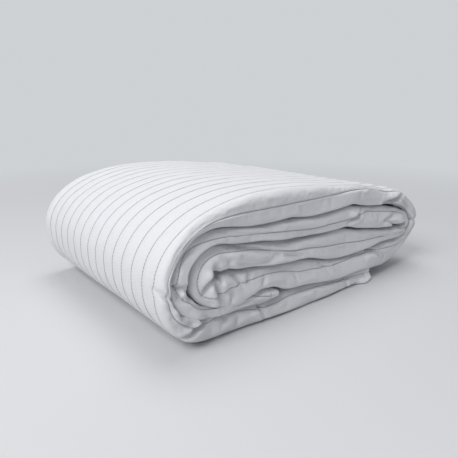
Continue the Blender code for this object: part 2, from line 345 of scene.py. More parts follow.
RIGHT_TURN = (
    (1.000, -2.38, 4.41, 0.75),
    (1.000, -1.58, 4.10, 0.65),
    (1.000, -0.85, 3.60, 0.56),
    (1.000, -0.41, 3.19, 0.50),
    (1.000, -0.18, 2.69, 0.46),
    (1.000, -0.43, 2.27, 0.46),
    (1.000, -0.95, 1.88, 0.50),
    (1.000, -1.49, 1.58, 0.60),
    (1.000, -1.99, 1.35, 0.76),
    (0.840, 0.00, 1.20, 0.95),
)
LOWER_LAP = (
    (0.769, 0.00, 1.18, 0.95),
    (0.683, 0.00, 1.19, 0.96),
    (0.597, 0.00, 1.25, 0.96),
    (0.522, 0.00, 1.40, 0.99),
    (0.456, 0.00, 1.61, 1.08),
    (0.389, 0.00, 1.78, 1.06),
    (0.323, 0.00, 1.98, 0.98),
    (0.274, 0.00, 2.09, 1.01),
    (0.218, 0.00, 2.10, 1.07),
)
HEART_TURN = (
    (0.000, 3.10, 2.11, 1.09),
    (0.000, 2.52, 2.17, 1.01),
    (0.000, 2.10, 2.51, 1.02),
    (0.000, 2.05, 2.91, 0.95),
    (0.000, 2.21, 3.24, 0.89),
    (0.000, 2.58, 3.44, 0.83),
)
MIDDLE_LAP = (
    (0.185, 0.00, 3.44, 0.86),
    (0.232, 0.00, 3.31, 0.94),
    (0.307, 0.00, 3.08, 1.02),
    (0.379, 0.00, 2.94, 0.97),
    (0.454, 0.00, 2.83, 0.98),
    (0.525, 0.00, 2.66, 1.17),
    (0.597, 0.00, 2.56, 1.31),
    (0.668, 0.00, 2.42, 1.09),
    (0.740, 0.00, 2.33, 0.92),
    (0.811, 0.00, 2.24, 0.63),
)
INNER_RIGHT_TURN = (
    (1.000, -2.46, 2.18, 0.46),
    (1.000, -1.96, 2.15, 0.42),
    (1.000, -1.45, 2.26, 0.42),
    (1.000, -1.16, 2.62, 0.42),
    (1.000, -1.33, 2.96, 0.44),
    (1.000, -1.83, 3.12, 0.54),
    (1.000, -2.46, 3.16, 0.81),
)
UPPER_LAP = (
    (0.799, 0.00, 3.33, 1.01),
    (0.740, 0.00, 3.46, 0.97),
    (0.680, 0.00, 3.62, 0.99),
    (0.624, 0.00, 3.81, 0.97),
    (0.550, 0.00, 3.82, 0.85),
    (0.454, 0.00, 3.82, 0.81),
    (0.359, 0.00, 3.97, 0.78),
    (0.285, 0.00, 4.09, 0.65),
    (0.213, 0.00, 4.19, 0.55),
)
INNER_LEFT_TURN = (
    (0.000, 2.89, 4.23, 0.48),
    (0.000, 2.17, 4.11, 0.42),
    (0.000, 1.61, 3.86, 0.42),
    (0.000, 1.24, 3.51, 0.42),
    (0.000, 1.08, 3.13, 0.46),
    (0.000, 1.07, 2.71, 0.54),
    (0.000, 1.20, 2.26, 0.60),
    (0.000, 1.55, 1.79, 0.50),
    (0.000, 2.22, 1.48, 0.42),
)
TUCKED_END = (
    (0.000, 3.11, 1.37, 0.42),
    (0.225, 0.00, 1.38, 0.42),
    (0.268, 0.00, 1.32, 0.54),
    (0.307, 0.00, 1.19, 0.58),
    (0.342, 0.00, 1.15, 0.54),
)
ROUTE = (
    UNDER_LAP
    + LEFT_TURN
    + TOP_LAP
    + RIGHT_TURN
    + LOWER_LAP
    + HEART_TURN
    + MIDDLE_LAP
    + INNER_RIGHT_TURN
    + UPPER_LAP
    + INNER_LEFT_TURN
    + TUCKED_END
)

# Where the quilting line runs round the near fold: run along the strip in pitches, and its
# height in the fold as a share of half the lap's thickness.
NEAR_LINE = (
    (0.0, -0.45),
    (2.9, -0.85),
    (7.0, -0.77),
    (8.3, -0.73),
    (9.7, -0.85),
    (12.2, -0.80),
    (15.0, -0.30),
    (18.5, 0.03),
    (20.5, 0.12),
    (21.5, 0.02),
    (23.5, -0.11),
    (25.5, -0.11),
    (27.4, 0.01),
    (29.5, 0.31),
    (31.1, 0.57),
    (33.2, 0.85),
    (38.0, 0.60),
    (42.0, -0.30),
    (45.0, -0.85),
    (46.9, -0.85),
    (50.2, -0.49),
    (52.3, -0.25),
    (53.2, -0.57),
    (54.3, -0.61),
    (55.3, -0.35),
    (56.5, -0.15),
    (57.3, -0.20),
    (58.6, 0.80),
    (59.2, 0.62),
    (60.4, 0.56),
    (61.4, 0.61),
    (62.5, 0.55),
    (63.5, 0.41),
    (64.5, 0.29),
    (65.5, 0.03),
    (68.5, 0.01),
    (72.6, -0.07),
    (74.5, -0.01),
    (77.0, -0.40),
    (78.7, -0.65),
    (80.8, -0.65),
    (82.0, -0.81),
    (84.0, 0.37),
    (87.3, 0.25),
    (91.3, -0.01),
    (93.4, -0.21),
    (95.1, -0.85),
    (97.1, -0.71),
    (97.6, 0.35),
    (98.8, 0.80),
    (101.0, 0.50),
    (103.3, 0.00),
)

# How full a near fold is, as the power of its curve, where 2 is an ellipse: on its upper side,
# on any other side between the laps, and outside on the roll by the run in pitches.
FULL_ABOVE = 2.4
FULL_BELOW = 7.0
FULL_OUTSIDE = ((0.0, 4.0), (8.0, 4.0), (11.0, 2.3), (34.0, 2.4), (38.0, 3.6), (45.0, 4.0))
OUTSIDE_RUNS = 45.0

# How far the near fold sticks out towards the viewer: run in pitches and metres. The second
# table is for its lower side at the loose end, where the corner pokes out.
NEAR_STICKS_OUT = (
    (0.0, 0.0015),
    (1.5, 0.0),
    (3.2, 0.0),
    (6.0, 0.0015),
    (8.0, 0.0005),
    (9.5, -0.0010),
    (11.0, -0.0035),
    (12.5, -0.0045),
    (13.5, -0.0020),
    (15.0, 0.0015),
    (17.5, 0.0030),
    (20.0, 0.0),
    (104.0, 0.0),
)
LOW_CORNER_OUT = ((0.0, 0.0030), (0.5, 0.0085), (0.85, 0.0090), (1.5, 0.0), (104.0, 0.0))
END_FULLNESS = 8.0
END_RUNS = (1.2, 2.6)
HEAD_FULLNESS = 2.4
HEAD_RUNS = (99.0, 101.5)
LOW_CORNER_TURN = 0.2

# Extra fullness at the near end on the strip's right and on its left side, by the run in
# pitches: where a lap bulges over its neighbour, which gives way.
MORE_ON_RIGHT = (
    (0.0, 0.0030),
    (1.0, 0.0030),
    (2.5, 0.0),
    (9.5, 0.0),
    (12.0, 0.0035),
    (13.5, 0.0060),
    (14.8, 0.0030),
    (16.0, -0.0030),
    (17.5, -0.0055),
    (20.0, -0.0050),
    (21.5, -0.0020),
    (23.0, 0.0),
    (91.5, 0.0),
    (93.5, 0.0020),
    (95.0, 0.0055),
    (97.0, 0.0055),
    (98.5, 0.0010),
    (99.5, 0.0),
    (101.0, 0.0010),
    (102.3, 0.0030),
    (103.0, 0.0015),
    (103.5, -0.0030),
)
MORE_ON_LEFT = (
    (39.5, 0.0),
    (41.5, 0.0040),
    (43.0, 0.0065),
    (44.5, 0.0050),
    (46.5, 0.0),
    (56.0, 0.0),
    (57.5, 0.0030),
    (60.0, 0.0035),
    (61.5, 0.0),
    (93.0, 0.0),
    (94.5, -0.0035),
    (97.0, -0.0035),
    (98.5, 0.0),
    (101.0, 0.0),
    (102.3, 0.0020),
    (103.0, 0.0015),
    (103.5, -0.0020),
)

# Creases and small bulges at the near end: first and last run in pitches that they touch, how
# far they press in in millimetres (below zero they bulge), their width, and where they run, in
# pitches from the roll's low left corner.
NEAR_CREASES = (
    (22.5, 37, 1.6, 0.13, ((14.35, 5.25), (15.55, 5.10), (17.05, 4.97))),
    (22.5, 37, 2.2, 0.2, ((2.15, 5.55), (2.95, 5.83))),
    (79, 93.2, 1.8, 0.13, ((1.85, 5.00), (2.75, 5.23), (3.95, 5.10))),
    (43.5, 57.2, 2.2, 0.13, ((10.60, 2.23), (11.15, 1.87), (11.45, 1.65))),
    (43.5, 57.2, -1.4, 0.2, ((11.35, 1.95), (11.85, 1.85))),
    (43.5, 57.2, 4.5, 0.17, ((15.15, 2.20), (15.85, 1.93))),
    (43.5, 57.2, 1.8, 0.13, ((6.25, 2.65), (5.95, 2.15))),
    (43.5, 57.2, 1.8, 0.13, ((8.35, 2.25), (8.65, 1.80))),
    (60, 75.5, 4.5, 0.15, (
        (3.55, 4.95), (4.15, 4.75), (4.55, 4.53), (5.15, 4.30), (5.85, 4.07), (6.55, 3.85),
        (7.15, 3.57),
    )),
    (60, 75.5, 2.5, 0.13, ((3.75, 3.90), (4.55, 3.65), (5.55, 3.43), (6.55, 3.40), (7.15, 3.55))),
    (60, 75.5, 3.6, 0.13, ((7.15, 3.57), (7.85, 3.35), (8.85, 3.07))),
    (0, 13.7, 3.2, 0.13, ((12.65, 1.00), (13.05, 0.75), (13.17, 0.55), (13.20, 0.15))),
    (0, 13.7, -2.9, 0.1, ((13.33, 0.65), (13.40, 0.10))),
    (0, 13.7, 2.5, 0.13, ((13.55, 0.65), (13.57, 0.10))),
    (0, 13.7, 2.2, 0.13, ((13.05, 0.80), (13.85, 0.55), (14.75, 0.45), (15.45, 0.25))),
    (79, 96, 2.5, 0.16, ((1.23, 4.71), (1.72, 4.83), (2.28, 4.99))),
    (12, 21.5, 5, 0.12, ((-0.24, 3.66), (0.04, 3.39), (0.28, 3.20), (0.53, 3.03))),
    (8, 16, 7, 0.11, ((2.65, 1.60), (2.46, 1.32), (1.95, 1.11), (1.17, 0.87))),
    (8, 17, -2.5, 0.45, ((1.55, 1.88), (2.17, 1.52), (1.67, 1.33))),
    (12, 19, -2.5, 0.42, ((0.77, 2.68), (0.92, 2.27))),
    (8, 19, 5.6, 0.11, ((1.00, 2.73), (1.13, 2.45), (1.15, 2.13), (1.69, 2.09), (2.47, 1.68))),
    (8, 17, 2, 0.13, ((1.14, 1.95), (1.47, 1.65), (1.81, 1.25))),
    (92, 99.5, 7, 0.11, ((0.65, 3.60), (0.99, 3.39), (1.35, 3.36))),
    (92, 99.5, -2.5, 0.5, ((1.00, 4.33), (0.97, 3.75))),
    (92, 99.5, -2, 0.25, ((1.05, 3.17), (1.21, 3.06))),
    (92, 99.5, 4.9, 0.11, ((0.76, 3.35), (0.90, 3.06), (0.88, 2.92))),
    (92, 101, 7, 0.13, ((1.45, 3.20), (1.64, 2.88), (2.00, 2.67))),
    (55.5, 61.5, 8.4, 0.12, ((3.00, 3.87), (2.92, 3.49), (2.60, 3.17), (2.42, 2.93), (2.34, 2.74))),
    (55.5, 61.5, -2, 0.3, ((2.51, 3.90), (2.43, 3.37))),
    (43.5, 61.5, 7.7, 0.12, ((2.85, 3.26), (3.12, 2.74), (3.29, 2.24), (3.31, 1.89))),
    (43.5, 61.5, -2.5, 0.35, ((2.78, 2.83), (2.96, 2.21))),
    (43.5, 61.5, 4.9, 0.12, ((4.00, 3.44), (4.40, 2.91), (4.69, 2.49))),
    (43.5, 61.5, -2.5, 0.35, ((3.27, 3.30), (3.69, 2.71))),
    (43.5, 61.5, 4, 0.22, ((3.12, 3.69), (3.69, 3.50), (4.40, 3.24))),
    (43.5, 61.5, 3, 0.14, ((3.61, 2.54), (3.53, 2.17), (3.61, 1.85))),
    (43.5, 61.5, 3, 0.14, ((3.92, 2.58), (3.97, 2.17), (3.86, 1.80))),
    (43.5, 58.5, 2.5, 0.14, ((5.31, 3.22), (5.07, 2.81), (4.99, 2.49))),
    (60, 75.5, 2.5, 0.16, ((3.39, 4.25), (3.85, 3.89), (3.69, 3.61))),
    (0, 13.7, 5.6, 0.12, ((5.99, 1.12), (6.08, 0.67), (6.32, 0.30))),
    (0, 13.7, -2, 0.35, ((5.27, 0.81), (5.81, 0.75))),
    (0, 13.7, 5.6, 0.14, ((2.91, 1.57), (3.37, 1.29), (3.69, 1.02), (3.49, 0.78))),
    (0, 13.7, 2.5, 0.14, ((4.50, 0.85), (4.42, 0.39))),
    (0, 13.7, -1.8, 0.4, ((4.01, 0.60), (2.75, 0.70))),
    (99, 103.5, 2.5, 0.14, ((5.00, 1.63), (5.79, 1.28), (6.34, 1.14), (7.19, 1.17))),
    (79, 93.2, 4.9, 0.11, ((14.42, 4.96), (14.07, 4.52), (12.92, 4.27))),
    (79, 93.2, -2.5, 0.35, ((13.55, 4.93), (13.35, 4.48))),
    (79, 93.2, 3, 0.3, ((14.98, 4.46), (16.81, 4.00))),
    (75, 93.2, 5.6, 0.11, ((17.09, 3.74), (18.39, 3.16), (19.64, 2.80))),
    (75, 93.2, -3, 0.4, ((18.12, 3.70), (19.01, 3.37))),
    (22.5, 40, 5.6, 0.11, ((18.50, 5.12), (17.73, 4.96), (16.65, 4.91))),
    (35.5, 45, 3, 0.12, ((18.35, 5.05), (19.70, 4.19), (20.96, 3.29))),
    (35.5, 46, 3, 0.12, ((19.29, 3.70), (20.05, 3.34), (21.10, 3.07))),
    (43.5, 57.2, 5.6, 0.11, ((16.18, 1.86), (16.53, 1.56), (17.18, 0.95))),
    (43.5, 57.2, 3, 0.12, ((16.55, 1.92), (17.09, 1.43), (17.45, 1.03))),
    (43.5, 57.2, 3.5, 0.2, ((15.01, 2.28), (15.95, 1.91))),
    (99, 103.5, 3, 0.12, ((3.36, 1.82), (4.27, 1.50), (5.07, 1.63), (6.12, 1.87), (7.24, 1.71))),
    (43.5, 58.5, 2.5, 0.12, ((3.36, 1.82), (4.27, 1.50), (5.07, 1.63), (6.12, 1.87))),
    (0, 17, 6, 0.13, ((2.45, 1.63), (2.76, 1.41))),
    (92, 103.5, 4, 0.12, ((2.24, 1.74), (2.76, 1.45))),
    (43.5, 61.5, 5, 0.16, ((3.06, 3.78), (3.22, 3.37))),
    (8, 19, 5, 0.13, ((1.12, 2.10), (1.28, 2.16))),
    (92, 101.5, 2, 0.13, ((0.95, 2.85), (1.75, 2.72), (2.17, 2.45), (2.77, 2.00))),
    (0, 17, 4.5, 0.1, ((1.28, 0.91), (1.79, 1.08), (2.32, 1.29), (2.63, 1.50))),
    (88, 103.5, 4, 0.13, ((1.32, 3.21), (1.55, 2.88), (1.92, 2.65))),
    (8, 19, 3.5, 0.12, ((0.64, 3.01), (0.94, 2.78), (1.12, 2.28), (1.16, 2.12))),
    (96, 103.5, -2, 0.3, ((1.49, 2.32), (2.41, 1.76))),
    (43.5, 57.2, 4, 0.12, ((15.30, 2.20), (16.32, 1.64), (16.58, 1.23))),
    (22.5, 40, 4, 0.12, ((16.55, 4.89), (17.72, 4.89), (18.59, 5.17))),
    (35.5, 46, 3.5, 0.12, ((18.97, 4.83), (19.79, 4.02), (20.15, 3.37))),
    (75, 93.2, 4, 0.14, ((16.76, 3.65), (17.90, 3.97), (18.51, 3.98))),
    (79, 93.2, -2.5, 0.35, ((14.98, 4.32), (16.32, 4.00))),
)


def blend(first, second, start, end, at):
    """The point at a knot value on the straight way between two others."""
    return first + (second - first) * (at - start) / (end - start)


def smooth_curve(points, steps):
    """A smooth curve through rows of points, whose first two columns are their place."""
    before = 2 * points[0] - points[1]
    after = 2 * points[-1] - points[-2]
    rows = np.vstack([before, points, after])
    curve = []
    for index in range(1, len(rows) - 2):
        p = rows[index - 1 : index + 3]
        spacing = np.sqrt(np.linalg.norm(np.diff(p[:, :2], axis=0), axis=1))
        knots = np.concatenate([[0.0], np.cumsum(spacing)])
        for at in np.linspace(knots[1], knots[2], steps, endpoint=False):
            a = [blend(p[k], p[k + 1], knots[k], knots[k + 1], at) for k in range(3)]
            b = [blend(a[k], a[k + 1], knots[k], knots[k + 2], at) for k in range(2)]
            curve.append(blend(b[0], b[1], knots[1], knots[2], at))
    curve.append(points[-1])
    return np.array(curve)


def smoothed(values, reach):
    """Values along the strip, evened out over a reach in stations."""
    offsets = np.arange(-3 * reach, 3 * reach + 1)
    weights = np.exp(-0.5 * (offsets / reach) ** 2)
    weights /= weights.sum()
    padded = np.pad(values, ((3 * reach, 3 * reach), (0, 0)), mode="edge")
    return np.stack([np.convolve(column, weights, mode="valid") for column in padded.T], axis=1)


def lowest_near(values, reach):
    """The lowest of the values along the strip within a reach in stations."""
    padded = np.pad(values, ((reach, reach), (0, 0)), mode="edge")
    shifted = [padded[k : k + len(values)] for k in range(2 * reach + 1)]
    return np.min(shifted, axis=0)


def soft_noise(random, places, wave):
    """Smooth noise from -1 to 1 at places along a line."""
    knots = random.uniform(-1.0, 1.0, int(np.max(places) / wave) + 3)
    scaled = np.clip(places / wave, 0.0, None)
    low = np.floor(scaled).astype(int)
    share = scaled - low
    share = share * share * (3 - 2 * share)
    return knots[low] * (1 - share) + knots[low + 1] * share


def soft_noise_2d(knots, first, second, wave):
    """Smooth noise over a surface, from a grid of knots, at every pair of two places."""
    u, v = np.clip(first / wave, 0.0, None), np.clip(second / wave, 0.0, None)
    i, j = np.floor(u).astype(int), np.floor(v).astype(int)
    u, v = u - i, v - j
    u, v = u * u * (3 - 2 * u), v * v * (3 - 2 * v)
    low = knots[i, j] * (1 - u) + knots[i + 1, j] * u
    high = knots[i, j + 1] * (1 - u) + knots[i + 1, j + 1] * u
    return low * (1 - v) + high * v


class Strip:
    """The folded strip, cut into even stations along its route."""

    def __init__(self):
        rows = np.array(
            [
                (-ROLL_SPAN / 2 + share * ROLL_SPAN + right * LAP, up * LAP, thick * LAP)
                for share, right, up, thick in ROUTE
            ]
        )
        curve = smooth_curve(rows, CURVE_STEPS)
        lengths = np.linalg.norm(np.diff(curve[:, :2], axis=0), axis=1)
        run = np.concatenate([[0.0], np.cumsum(lengths)])
        self.length = run[-1]
        self.run = np.linspace(0.0, self.length, int(round(self.length / STATION)) + 1)
        even = np.stack([np.interp(self.run, run, curve[:, k]) for k in range(3)], axis=1)
        even[1:-1] = smoothed(even, 1)[1:-1]
        self.middle = even[:, :2]
        self.thick = even[:, 2:]
        travel = smoothed(np.gradient(self.middle, axis=0), 1)
        self.travel = travel / np.linalg.norm(travel, axis=1, keepdims=True)
        self.left = np.stack([-self.travel[:, 1], self.travel[:, 0]], axis=1)
        turning = np.gradient(np.unwrap(np.arctan2(self.travel[:, 1], self.travel[:, 0])))
        self.bend = smoothed(turning[:, None] / (self.length / (len(self.run) - 1)), 1)
        self.ply = self.thick / PLIES
        self.half = self.ply / 2 - CLEARANCE / 2
        self.fullness = self.near_fullness()
        self.sticks_out = self.evened_table(NEAR_STICKS_OUT, EVEN_FOLD)
        self.low_corner = self.evened_table(LOW_CORNER_OUT, EVEN_CORNER)
        heights = self.evened_table(NEAR_LINE, EVEN_LINE)
        self.near_line = self.nose_turn(np.clip(heights, -LINE_LIMIT, LINE_LIMIT))
        self.swell = self.swelling()
        random = np.random.default_rng(UNEVEN_SEED)
        self.near_depth = NEAR_UNEVEN * (1 + soft_noise(random, self.run, UNEVEN_WAVE))

    def table(self, rows):
        """The values at every station of a table by the run in pitches."""
        return np.interp(self.run / CHANNEL_PITCH, *np.array(rows).T)

    def evened_table(self, rows, reach):
        """The same, evened out over a reach in stations."""
        return smoothed(self.table(rows)[:, None], reach)

    def near_fullness(self):
        """How full the near fold is on the strip's right and on its left side."""
        facing_up = np.maximum(np.hstack([-self.left[:, 1:], self.left[:, 1:]]), 0.0)
        fullness = FULL_BELOW + (FULL_ABOVE - FULL_BELOW) * facing_up
        outside = self.run / CHANNEL_PITCH < OUTSIDE_RUNS
        fullness[:, 1] = np.where(outside, self.table(FULL_OUTSIDE), fullness[:, 1])
        square = np.interp(self.run / CHANNEL_PITCH, END_RUNS, (1.0, 0.0))[:, None]
        fullness += (END_FULLNESS - fullness) * square
        rounded = np.interp(self.run / CHANNEL_PITCH, HEAD_RUNS, (0.0, 1.0))[:, None]
        return smoothed(fullness + (HEAD_FULLNESS - fullness) * rounded, EVEN_FOLD)

    def swelling(self):
        """How far the right and the left side of the laps swell to close half the gaps."""
        half = self.thick / 2
        sides = [self.middle - self.left * half, self.middle + self.left * half]
        others = np.concatenate(sides)
        runs = np.tile(self.run, 2)
        swells = []
        for side, sign in zip(sides, (-1, 1)):
            out = sign * self.left
            away = others[None] - side[:, None]
            ahead = away @ out[:, :, None]
            beside = np.abs(away @ self.travel[:, :, None])
            meets = (beside < STATION) & (ahead > 0.0)
            meets &= (np.abs(runs[None] - self.run[:, None]) > SWELL_NEIGHBOUR)[:, :, None]
            gap = np.where(meets, ahead, np.inf).min(axis=1)
            closed = np.minimum(gap, SWELL_GAP) * (gap < 2 * SWELL_GAP)
            swells.append(closed / 2)
        swells = smoothed(lowest_near(np.hstack(swells), LOWEST_SWELL), EVEN_SWELL)
        swells[:, 0] += self.table(MORE_ON_RIGHT)
        swells[:, 1] += self.table(MORE_ON_LEFT)
        return smoothed(swells, EVEN_SWELL)

    def piece(self, rows):
        """The same strip with only some of its stations."""
        made = copy.copy(self)
        for name, values in vars(self).items():
            if isinstance(values, np.ndarray):
                setattr(made, name, values[rows])
        return made

    def nose(self, turn):
        """Depth and height shares of the rounded near fold, for turns from -1 to 1."""
        angle = turn * math.pi / 2
        power = np.where(turn < 0, self.fullness[:, :1], self.fullness[:, 1:])
        across, along = np.cos(angle), np.sin(angle)
        reach = (np.abs(across) ** power + np.abs(along) ** power) ** (-1 / power)
        return reach * across, reach * along

    def nose_turn(self, height_share):
        """The turn of the near fold at a share of its height."""
        power = np.where(height_share < 0, self.fullness[:, :1], self.fullness[:, 1:])
        depth = (1 - np.abs(height_share) ** power) ** (1 / power)
        return np.arctan2(height_share, depth) / (math.pi / 2)

    def place(self, y, height, forward=0.0):
        """World points at heights over the middle, eased in where a turn would fold them."""
        inward = height * self.bend
        limit = TURN_LIMIT / np.maximum(np.abs(self.bend), TINY)
        eased = np.sign(height) * limit * np.tanh(np.abs(height) / limit)
        height = np.where(inward > 0, eased, height)
        x = self.middle[:, :1] + self.left[:, :1] * height + self.travel[:, :1] * forward
        z = self.middle[:, 1:] + self.left[:, 1:] * height + self.travel[:, 1:] * forward
        return np.stack([x, np.broadcast_to(y, x.shape), np.maximum(z - REST_FLAT, 0.0)], axis=2)


def swell_left_at(y):
    """The share of the near end's swelling that is left at a distance behind its first line."""
    share = np.clip(1 - (y - FIRST_LINE_Y) / SWELL_REACH, 0.0, 1.0)
    return share * share * (3 - 2 * share)


def near_end_pressed(strip, points):
    """The points with the near end's creases pressed in and its laps set at their own depth."""
    run = strip.run[:, None] / CHANNEL_PITCH
    x = (points[:, :, 0] + ROLL_SPAN / 2) / CHANNEL_PITCH
    z = (points[:, :, 2] + REST_FLAT) / CHANNEL_PITCH
    near = np.clip((FIRST_LINE_Y + CREASE_FROM - points[:, :, 1]) / CREASE_GROWS, 0.0, 1.0)
    near = near * near * (3 - 2 * near)
    shift = strip.near_depth[:, None] * near
    for first, last, depth, width, way in NEAR_CREASES:
        touched = (strip.run / CHANNEL_PITCH > first) & (strip.run / CHANNEL_PITCH < last)
        px, pz = x[touched], z[touched]
        nearest = np.full(px.shape, np.inf)
        at = np.zeros(px.shape)
        lengths = [math.dist(start, end) for start, end in zip(way, way[1:])]
        for k, (start, end) in enumerate(zip(way, way[1:])):
            along = np.array(end) - np.array(start)
            share = ((px - start[0]) * along[0] + (pz - start[1]) * along[1]) / (along @ along)
            share = np.clip(share, 0.0, 1.0)
            gap = np.hypot(px - start[0] - share * along[0], pz - start[1] - share * along[1])
            here = (sum(lengths[:k]) + share * lengths[k]) / sum(lengths)
            at = np.where(gap < nearest, here, at)
            nearest = np.minimum(nearest, gap)
        from_end = np.clip(np.minimum(at, 1 - at) / CREASE_FADE, 0.0, 1.0)
        faded = CREASE_END + (1 - CREASE_END) * from_end
        form = np.exp(-((nearest / width) ** 2))
        if depth > 0:
            form -= PUFF * np.exp(-(((nearest / width - PUFF_AWAY) / PUFF_WIDTH) ** 2))
        shift[touched] += depth * MILLIMETRE * form * faded * near[touched]
    points[:, :, 1] += shift
    return points


def end_tape_ring():
    """The tape's section at an end: how far back from the end, how deep, and its wall."""
    backs = [TAPE_REACH * share for share in END_TAPE_SHARES]
    skin = [(back, 0.0, TAPE) for back in backs]
    for angle in np.linspace(0.0, math.pi, END_TAPE_FOLD_STEPS)[1:-1]:
        skin.append((-TAPE_NOSE * math.sin(angle), (1 - math.cos(angle)) / 2, TAPE))
    skin += [(back, 1.0, TAPE) for back in backs[::-1]]
    lining = [(max(back, TAPE - TAPE_NOSE), depth, TAPE_LINING) for back, depth, _ in skin[::-1]]
    return skin + lining


def channel_points(first, last, steps):
    """Channel numbers from one line to another, closer together beside the lines."""
    shares = 0.5 - 0.5 * np.cos(np.linspace(0.0, math.pi, steps, endpoint=False))
    points = [k + share for k in range(first, last) for share in shares]
    return np.array(points + [last])


def under_tape(from_edge):
    """How far the ply is drawn in under a tape, by the distance from the edge that it binds."""
    eased = (TAPE_REACH * TUCK_ENDS - from_edge) / (TAPE_REACH * TUCK_EASES)
    return PINCH * np.clip(eased, 0.0, 1.0)


def tucked_in(strip):
    """How far the ply is drawn in under the tapes at both ends of the strip."""
    return under_tape(np.minimum(strip.run, strip.length - strip.run)[:, None])


def off_near_line(channel):
    """From 0 beside the line round the near fold to 1 away from it, by the channel number."""
    return np.clip((np.abs(channel) - LINE_FADE_FROM) / LINE_FADE_OVER, 0.0, 1.0)


class Quilting:
    """How far the face sinks below the fullest form, from its place on the pad."""

    def __init__(self, strip):
        random = np.random.default_rng(NOISE_SEED)
        self.strip = strip
        ripples = []
        for _ in range(RIPPLES):
            wave = PUCKER_WAVE * random.uniform(*PUCKER_WAVE_RANGE)
            ripples.append(soft_noise(random, strip.run, wave))
        self.ripples = np.stack(ripples)
        self.slack = random.uniform(0.0, 1.0, (SLACK_KNOTS, SLACK_KNOTS))

    def sink(self, channel):
        """Depth at every station for channel numbers, whose whole values are the lines."""
        channel = np.broadcast_to(channel, (len(self.strip.run), channel.shape[-1]))
        line = np.round(channel)
        away = np.abs(channel - line)
        from_line = away * CHANNEL_PITCH
        crown = CROWN * (1 - 2 * away) ** CROWN_POWER
        groove = GROOVE * np.exp(-((from_line / GROOVE_WIDTH) ** 2))
        side = (2 * line + (channel > line)).astype(int) % len(self.ripples)
        ripple = self.ripples[side, np.arange(len(self.strip.run))[:, None]]
        fade = np.exp(-from_line / PUCKER_REACH) * (1 - np.exp(-from_line / PUCKER_CLEAR))
        run = np.broadcast_to(self.strip.run[:, None], channel.shape)
        across = (channel + CHANNELS + 2) * CHANNEL_PITCH
        slack = SLACK * soft_noise_2d(self.slack, run, across, SLACK_WAVE)
        return crown + groove + PUCKER * (0.5 + 0.5 * ripple) * fade + slack


def fold_path(strip, quilting):
    """The outside of the folded ply: y, height and channel number at every station."""
    ply, half = strip.ply, strip.half
    ends = tucked_in(strip)
    parts = []

    channel = -channel_points(1, CHANNELS, UNDER_STEPS)[::-1]
    y = np.minimum(FIRST_LINE_Y - (channel + 1) * CHANNEL_PITCH, FAR_Y - TAPE_NOSE)
    covered = np.maximum(ends, under_tape(FAR_Y - y))
    offset = half - quilting.sink(channel) * UNDER_SINK - covered
    swell = strip.swell[:, :1] * swell_left_at(y)
    parts.append((y + 0 * offset, -(ply + offset + swell), channel + 0 * offset))

    line = strip.near_line
    channel = channel_points(-1, 1, NEAR_FOLD_STEPS)[1:-1]
    turn = line + channel * np.where(channel < 0, 1 + line, 1 - line)
    channel = channel + 0 * line
    slack = NEAR_SINK + (1 - NEAR_SINK) * off_near_line(channel)
    offset = half - slack * quilting.sink(channel) - ends
    depth_share, height_share = strip.nose(turn + 0 * line)
    radius = NEAR_NOSE - half + offset + strip.sticks_out
    radius = radius + strip.low_corner * np.clip(LOW_CORNER_TURN + turn, 0.0, 1.0)
    swell = np.where(turn < 0, strip.swell[:, :1], strip.swell[:, 1:])
    height = (ply + offset + swell) * height_share
    parts.append((FIRST_LINE_Y - radius * depth_share, height, channel))

    far_fold_y = FAR_Y - ply / 2 - half
    channel = channel_points(1, LINES, FACE_STEPS)
    y = FIRST_LINE_Y + (channel - 1) * CHANNEL_PITCH
    offset = half - quilting.sink(channel) - ends
    y = y + 0 * offset
    swell = strip.swell[:, 1:] * swell_left_at(y)
    parts.append((y, ply + offset + swell, channel + 0 * offset))

    channel = LINES + np.linspace(*FAR_CHANNEL, FAR_STEPS)
    share = np.linspace(*FAR_WIDTH, FAR_STEPS)
    start_y = FIRST_LINE_Y + (LINES - 1) * CHANNEL_PITCH
    y = start_y + (far_fold_y - start_y) * share
    offset = half - quilting.sink(channel) - ends
    parts.append((y, ply + offset, channel + 0 * offset))

    turn = np.linspace(1.0, -1.0, FAR_FOLD_STEPS)
    offset = half - ends - FAR_SINK + 0 * turn
    angle = turn * math.pi / 2
    radius = ply / 2 + offset
    channel = CHANNELS - FAR_FOLD_CHANNEL * turn
    y = far_fold_y + radius * np.cos(angle)
    parts.append((y, ply / 2 + radius * np.sin(angle), channel + 0 * offset))

    share = np.linspace(0.0, 1.0, INNER_STEPS)[1:]
    y = far_fold_y + (FIRST_LINE_Y + TAPE_NOSE - far_fold_y) * share
    offset = half - FAR_SINK - np.maximum(ends, under_tape(y - FIRST_LINE_Y))
    parts.append((y, -offset, CHANNELS + share * LINES + 0 * offset))
    return [np.hstack([part[k] for part in parts]) for k in range(3)]


def simulated_columns(channel):
    """Which of the face's points across the strip the cloth simulation has."""
    share = np.abs(channel - np.round(channel))
    near = np.abs(channel) < 1
    near_index = np.cumsum(near) - 1
    line = np.argmin(np.abs(channel))
    kept = np.where(near, (near_index - near_index[line]) % CLOTH_NEAR_STEPS == 0, True)
    kept &= near | (share < TINY) | (share > CLOTH_LINE_CLEAR)
    kept &= (channel > CLOTH_FIRST_CHANNEL) & (channel < CLOTH_LAST_CHANNEL)
    return np.flatnonzero(kept)


